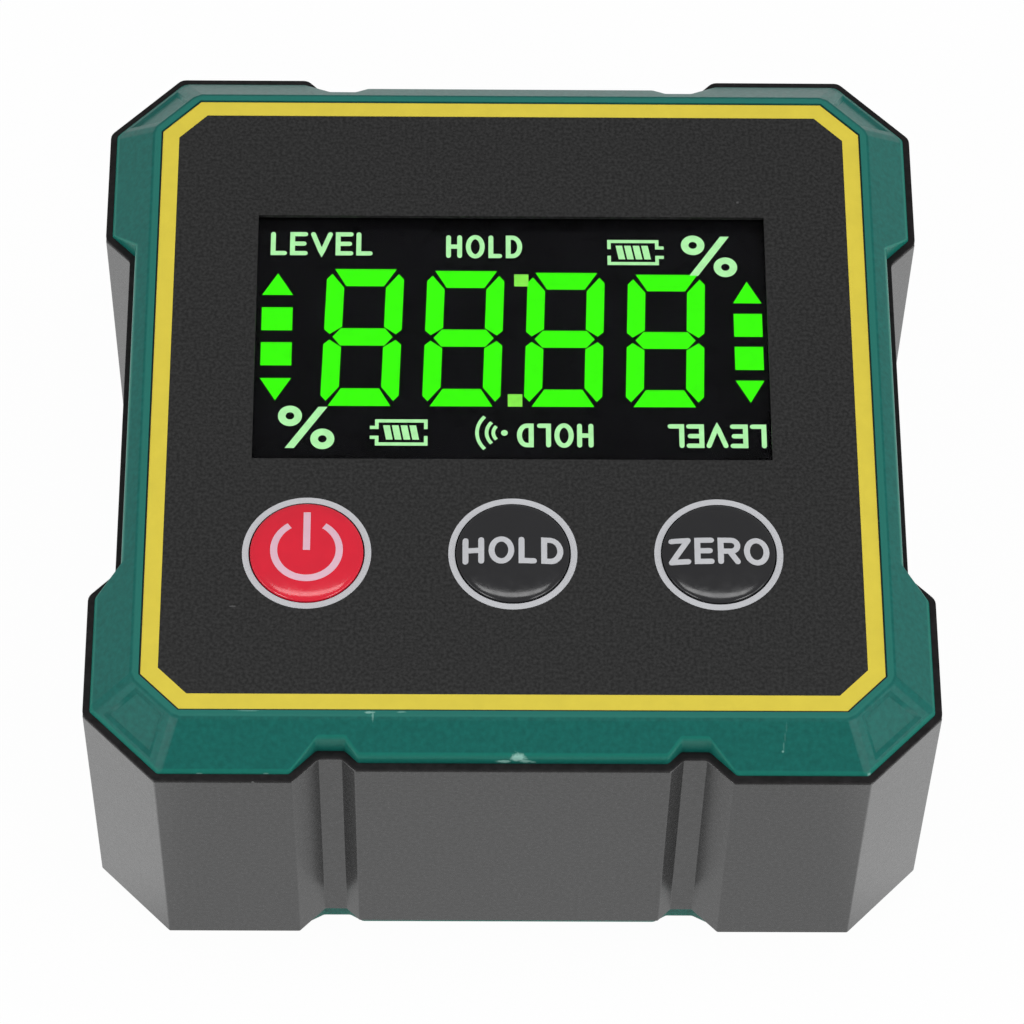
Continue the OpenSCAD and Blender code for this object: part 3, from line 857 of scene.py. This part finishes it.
def letter_strokes():
    """Each letter as its width and its strokes, a stroke being (points, closed)."""
    bowl = arc((0.24, 0.5), 0.42, 0.5, 90, -90, 16)
    loop = arc((0.42, 0.74), 0.26, 0.26, 90, -90, 12)
    return {
        "H": (0.64, [(polyline((0, 0), (0, 1)), False), (polyline((0.64, 0), (0.64, 1)), False),
                     (polyline((0, 0.5), (0.64, 0.5)), False)]),
        "O": (0.80, [(ring_path((0.40, 0.5), 0.40, 0.52, 40), True)]),
        "L": (0.50, [(polyline((0, 1), (0, 0), (0.50, 0)), False)]),
        "D": (0.66, [(polyline((0, 0), (0, 1)) + bowl, True)]),
        "Z": (0.66, [(polyline((0, 1), (0.66, 1)), False), (polyline((0.66, 1), (0, 0)), False),
                     (polyline((0, 0), (0.66, 0)), False)]),
        "E": (0.56, [(polyline((0.56, 1), (0, 1), (0, 0), (0.56, 0)), False),
                     (polyline((0, 0.5), (0.5, 0.5)), False)]),
        "R": (0.68, [(polyline((0, 0), (0, 1)) + loop + polyline((0, 0.48)), False),
                     (polyline((0.36, 0.48), (0.68, 0)), False)]),
        "V": (0.74, [(polyline((0, 1), (0.37, 0), (0.74, 1)), False)]),
    }


LETTERS = letter_strokes()
LETTER_STEP = 0.25 * MM


def write_word(bm, word, middle, size, stroke_w, surface, turned=False, narrow=1.0):
    """A centred word of single strokes, of a given size over them; turned stands it on its head."""
    tall = size[1] - stroke_w
    bare = sum(LETTERS[c][0] for c in word) * tall * narrow
    gap = (size[0] - stroke_w - bare) / (len(word) - 1)
    x = -(size[0] - stroke_w) / 2
    spin = Matrix.Rotation(math.pi if turned else 0.0, 2)
    for letter in word:
        wide, strokes = LETTERS[letter]
        for number, (points, closed) in enumerate(strokes):
            placed = [middle + spin @ Vector((x + p.x * tall * narrow, (p.y - 0.5) * tall)) for p in points]
            path = placed if closed else resampled(placed, LETTER_STEP)
            stroke(bm, path, stroke_w, surface, closed, thickness=PRINT_T + number * LAYER)
        x += wide * tall * narrow + gap


def word_mark(word):
    def draw(bm, centre, surface):
        write_word(bm, word, centre.xy, (KEY_WORD_W, KEY_WORD_H), KEY_STROKE, surface)
    return draw


def make_keys():
    make_key("power_key", KEY_RED, PINK_INK, power_mark)
    make_key("hold_key", KEY_BLACK, PALE_INK, word_mark("HOLD"))
    make_key("zero_key", KEY_BLACK, PALE_INK, word_mark("ZERO"))


# Display: its lens and lit marks, placed from the middle of the window, in millimetres

LENS_LIFT = 0.06 * MM
LENS_ROUND = 0.15 * MM
DIGIT_W = 5.65
DIGIT_H = 11.9
DIGIT_PITCH = 7.35
DIGIT_COUNT = 4
FIRST_DIGIT = (-13.85, -6.05)
SLANT = 0.03
BAR_W = 1.3
BAR_H = 1.5
SEGMENT_GAP = 0.14
TOP_START = 0.57
MID_TIP = 0.64
DIGIT_SHRINK = 0.0105
DOT = 1.05
DOT_PLACES = ((0.2, 4.4), (-0.3, -6.05))
COLUMNS = ((-17.1, 4.5, 2.25, 3.05), (17.25, 3.95, 2.08, 2.88))
WORD_STROKE = 0.36
ICON_STROKE = 0.26
ARROW_RISE = 0.95
SQUARE_H = 2.0


def on_display(x, y):
    """Plan place on the glass of a mark seen at (x, y) millimetres from the window's middle."""
    return Vector((WINDOW_MIDDLE.x + x * MM, WINDOW_MIDDLE.y + y * MM + DISPLAY_RISE))


def mark(bm, points):
    prism(bm, [on_display(x, y) for x, y in points], Z_GLASS - PRINT_SINK, Z_GLASS + PRINT_T)


def line(bm, points, width, closed=False, round_ends=False):
    stroke(bm, [on_display(*p) for p in points], width * MM, flat(Z_GLASS), closed, round_ends)


def segments():
    """The seven bars of a digit, as outlines in a box DIGIT_W by DIGIT_H."""
    w, h, half = DIGIT_W, DIGIT_H, DIGIT_H / 2
    in_x, in_y, gap = BAR_W, BAR_H, SEGMENT_GAP
    top = [(TOP_START, h), (w - TOP_START, h), (w - in_x - gap, h - in_y), (in_x + gap, h - in_y)]
    bottom = [(x, h - y) for x, y in reversed(top)]
    rise = in_y / 2
    near, far = in_x - 0.08, w - in_x + 0.08
    middle = [(MID_TIP, half), (near, half - rise), (far, half - rise), (w - MID_TIP, half),
              (far, half + rise), (near, half + rise)]
    upper = [(0, h - 0.9), (0.39, h - 0.43), (in_x, h - in_y - gap), (in_x, half + rise + gap),
             (0.42, half + 0.25), (0, half + 0.65)]
    left = [upper, [(x, h - y) for x, y in reversed(upper)]]
    right = [[(w - x, y) for x, y in reversed(bar)] for bar in left]
    return [top, middle, bottom] + left + right


def draw_digits(bm):
    for number in range(DIGIT_COUNT):
        x0 = FIRST_DIGIT[0] + number * DIGIT_PITCH
        y0 = FIRST_DIGIT[1]
        tall = 1 - DIGIT_SHRINK * number
        for outline in segments():
            mark(bm, [(x0 + x + SLANT * y, y0 + y * tall) for x, y in outline])


def box_points(x, y, w, h):
    return [(x - w / 2, y - h / 2), (x + w / 2, y - h / 2), (x + w / 2, y + h / 2), (x - w / 2, y + h / 2)]


def draw_columns(bm):
    """Up and down arrows with two squares between, at each side of the digits."""
    for x, top, w, pitch in COLUMNS:
        for row, sign in ((0, 1), (3, -1)):
            y = top - row * pitch
            base, tip = y - sign * ARROW_RISE, y + sign * ARROW_RISE
            mark(bm, [(x - w / 2, base), (x + w / 2, base), (x, tip)][::sign])
        for row in (1, 2):
            mark(bm, box_points(x, top - row * pitch, w, SQUARE_H))


def draw_percent(bm, x, y):
    mark(bm, [(x - 1.5, y - 1.75), (x - 0.85, y - 1.75), (x + 1.5, y + 1.75), (x + 0.85, y + 1.75)])
    for side in (-1, 1):
        centre = (x + side * 1.18, y - side * 0.97)
        path = [(p.x, p.y) for p in ring_path(centre, 0.59, 0.59, 28)]
        line(bm, path, 0.55, closed=True)


def draw_battery(bm, x, y, way):
    """Battery outline of two brackets with four slanted bars; way is 1 with its nubs at the right."""
    for side in (-1, 1):
        path = [(2.12, 0.42), (1.62, 0.42), (1.62, 0.98), (-1.9, 0.98), (-1.9, 0.3)]
        line(bm, [(x + way * px, y + side * py) for px, py in path], ICON_STROKE)
    for bar in range(4):
        left = -1.42 + bar * 0.63
        points = [(left + 0.22, -0.6), (left + 0.7, -0.6), (left + 0.48, 0.6), (left, 0.6)]
        mark(bm, [(x + way * px, y + way * py) for px, py in points])


def draw_sound(bm, x, y):
    mark(bm, [(x + p.x, y + p.y) for p in ring_path((0, 0), 0.24, 0.24, 16)])
    for radius in (0.8, 1.28, 1.97):
        path = arc((x, y), radius, radius, 136, 224, 18)
        line(bm, [(p.x, p.y) for p in path], ICON_STROKE)


def draw_word(bm, word, x, y, w, h, turned=False, narrow=1.0):
    write_word(bm, word, on_display(x, y), (w * MM, h * MM), WORD_STROKE * MM, flat(Z_GLASS), turned, narrow)


def make_display():
    bm = bmesh.new()
    low, high = LENS_LOW, LENS_HIGH
    corners = [(low.x, low.y), (high.x, low.y), (high.x, high.y), (low.x, high.y)]
    prism(bm, corners, low.z + LENS_LIFT, high.z)
    edges = [e for e in bm.edges if e.calc_face_angle() > 1]
    bmesh.ops.bevel(bm, geom=edges, offset=LENS_ROUND, segments=3, profile=0.5, affect="EDGES")
    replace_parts(add_piece("lens_plate", bm, LENS), "display_lens")

    bm = bmesh.new()
    draw_digits(bm)
    draw_columns(bm)
    add_piece("display_digits", bm, GREEN_LIGHT)

    bm = bmesh.new()
    for x, y in DOT_PLACES:
        mark(bm, box_points(x + DOT / 2, y + DOT / 2, DOT, DOT))
    add_piece("display_dots", bm, DOT_LIGHT)

    bm = bmesh.new()
    draw_word(bm, "LEVEL", -13.95, 8.1, 7.5, 2.05)
    draw_word(bm, "HOLD", -2.0, 7.9, 5.6, 2.0, narrow=0.78)
    draw_battery(bm, 9.1, 7.45, 1)
    draw_percent(bm, 14.55, 7.15)
    draw_percent(bm, -14.8, -7.9)
    draw_battery(bm, -8.1, -8.3, -1)
    draw_sound(bm, -0.55, -8.3)
    draw_word(bm, "HOLD", 3.1, -8.5, 5.5, 2.0, turned=True, narrow=0.78)
    draw_word(bm, "LEVEL", 14.75, -8.5, 7.1, 2.0, turned=True)
    add_piece("display_icons", bm, PALE_LIGHT)


# Camera, as fitted to the photograph

CAMERA_ELEVATION = 58.64
CAMERA_AZIMUTH = -1.51
CAMERA_ROLL = 1.53
CAMERA_DISTANCE = 334.4 * MM
CAMERA_TARGET = Vector((-0.045 * MM, -9.857 * MM, Z_FACE))
CAMERA_LENS = 165.9
SENSOR = 36.0


def make_camera():
    elevation, azimuth = math.radians(CAMERA_ELEVATION), math.radians(CAMERA_AZIMUTH)
    roll = math.radians(CAMERA_ROLL)
    back = Vector((
        math.sin(azimuth) * math.cos(elevation),
        -math.cos(azimuth) * math.cos(elevation),
        math.sin(elevation),
    ))
    right = (-back).cross(Vector((0, 0, 1))).normalized()
    up = right.cross(-back)
    across = right * math.cos(roll) + up * math.sin(roll)
    upright = up * math.cos(roll) - right * math.sin(roll)
    data = bpy.data.cameras.new("camera")
    data.lens = CAMERA_LENS
    data.sensor_width = SENSOR
    data.clip_start = 0.01
    camera = bpy.data.objects.new("camera", data)
    turn = Matrix((across, upright, back)).transposed().to_4x4()
    camera.matrix_world = Matrix.Translation(CAMERA_TARGET + back * CAMERA_DISTANCE) @ turn
    bpy.context.scene.collection.objects.link(camera)
    bpy.context.scene.camera = camera


# Floor and light

FLOOR_HALF = 3.0
FLOOR_DROP = 0.02 * MM
FLOOR_COLOUR = (0.9, 0.9, 0.9, 1)
FLOOR_GLOW = 0.97
FRONT_LEVEL = 0.6
FRONT_HALF = (24 * MM, 32 * MM)
FRONT_DEPTH = (-20 * MM, 0.0)
WORLD_STRENGTH = 0.25
LAMP_DISTANCE = 0.9


def floor_level(made, mirrored):
    """The floor's brightness: full to the camera, and lower in reflections in front of the object."""
    ground = made.node("ShaderNodeTexCoord").outputs["Object"]
    place = made.node("ShaderNodeSeparateXYZ", {0: ground}).outputs
    beside = made.math("ABSOLUTE", place["X"], 0.0)
    fades = [
        made.spread(value, low, high, 0.0, 1.0, interpolation_type="SMOOTHSTEP")
        for value, (low, high) in ((beside, FRONT_HALF), (place["Y"], FRONT_DEPTH))
    ]
    away = made.math("MAXIMUM", fades[0], fades[1])
    full = made.math("MAXIMUM", made.math("SUBTRACT", 1.0, mirrored), away)
    return made.spread(full, 0.0, 1.0, FRONT_LEVEL, 1.0)


def floor_material():
    """White to the camera and in reflections, with part of the object's shadow kept; clear from below."""
    made = NodeMaterial("studio_floor")
    nodes = made.tree.nodes
    nodes.remove(nodes["Principled BSDF"])
    path = made.node("ShaderNodeLightPath").outputs
    level = floor_level(made, path["Is Glossy Ray"])
    seen = made.math("MAXIMUM", path["Is Camera Ray"], path["Is Glossy Ray"])
    seen = made.math("MAXIMUM", seen, path["Is Transmission Ray"])
    share = made.math("MULTIPLY", seen, FLOOR_GLOW)
    diffuse = made.node("ShaderNodeBsdfDiffuse", {"Color": FLOOR_COLOUR}).outputs[0]
    glow = made.node("ShaderNodeEmission", {"Strength": level}).outputs[0]
    lit = made.node("ShaderNodeMixShader", {0: share, 1: diffuse, 2: glow}).outputs[0]
    clear = made.node("ShaderNodeBsdfTransparent").outputs[0]
    below = made.node("ShaderNodeNewGeometry").outputs["Backfacing"]
    sided = made.node("ShaderNodeMixShader", {0: below, 1: lit, 2: clear}).outputs[0]
    made.tree.links.new(sided, nodes["Material Output"].inputs["Surface"])
    return made.material


def make_floor():
    bm = bmesh.new()
    corners = cut_square(FLOOR_HALF, FLOOR_HALF / 2)
    bm.faces.new([bm.verts.new((p.x, p.y, -FLOOR_DROP)) for p in corners])
    mesh = bpy.data.meshes.new("studio_floor")
    bm.to_mesh(mesh)
    bm.free()
    mesh.materials.append(floor_material())
    floor = bpy.data.objects.new("studio_floor", mesh)
    bpy.context.scene.collection.objects.link(floor)


def soft_box(name, direction, size, radiance, lights=True, mirrored=True):
    """A lamp that looks at the object from a direction, with a given brightness.

    It can be one that only lights the object or a card that only shows in reflections.
    """
    data = bpy.data.lights.new(name, "AREA")
    data.shape = "RECTANGLE"
    data.size, data.size_y = size
    data.energy = radiance * math.pi * size[0] * size[1]
    lamp = bpy.data.objects.new(name, data)
    towards = Vector(direction).normalized()
    lamp.location = towards * LAMP_DISTANCE
    lamp.rotation_mode = "QUATERNION"
    lamp.rotation_quaternion = towards.to_track_quat("Z", "Y")
    lamp.visible_diffuse = lights
    lamp.visible_glossy = mirrored
    lamp.visible_transmission = lights and mirrored
    bpy.context.scene.collection.objects.link(lamp)


def make_light():
    soft_box("left_front_box", (-0.55, -0.55, 0.62), (0.3, 0.3), 4.8)
    soft_box("right_front_box", (0.55, -0.55, 0.62), (0.3, 0.3), 4.8)
    soft_box("left_box", (-0.9, -0.05, 0.4), (0.45, 0.45), 3.7, mirrored=False)
    soft_box("right_box", (0.9, -0.05, 0.4), (0.5, 0.5), 4.4, mirrored=False)
    soft_box("left_card", (-0.82, -0.3, 0.44), (0.3, 0.3), 2.0, lights=False)
    soft_box("right_card", (0.82, -0.3, 0.44), (0.3, 0.3), 2.4, lights=False)
    soft_box("top_strip", (0.0, 0.05, 1.0), (0.7, 0.16), 4.2)
    world = bpy.data.worlds.new("studio")
    world.use_nodes = True
    background = world.node_tree.nodes["Background"]
    background.inputs["Strength"].default_value = WORLD_STRENGTH
    background.inputs["Color"].default_value = (1, 1, 1, 1)
    bpy.context.scene.world = world


dress_nodes()
make_housing()
make_border()
make_keys()
make_display()
make_camera()
make_floor()
make_light()
bpy.context.scene.view_settings.view_transform = "Standard"
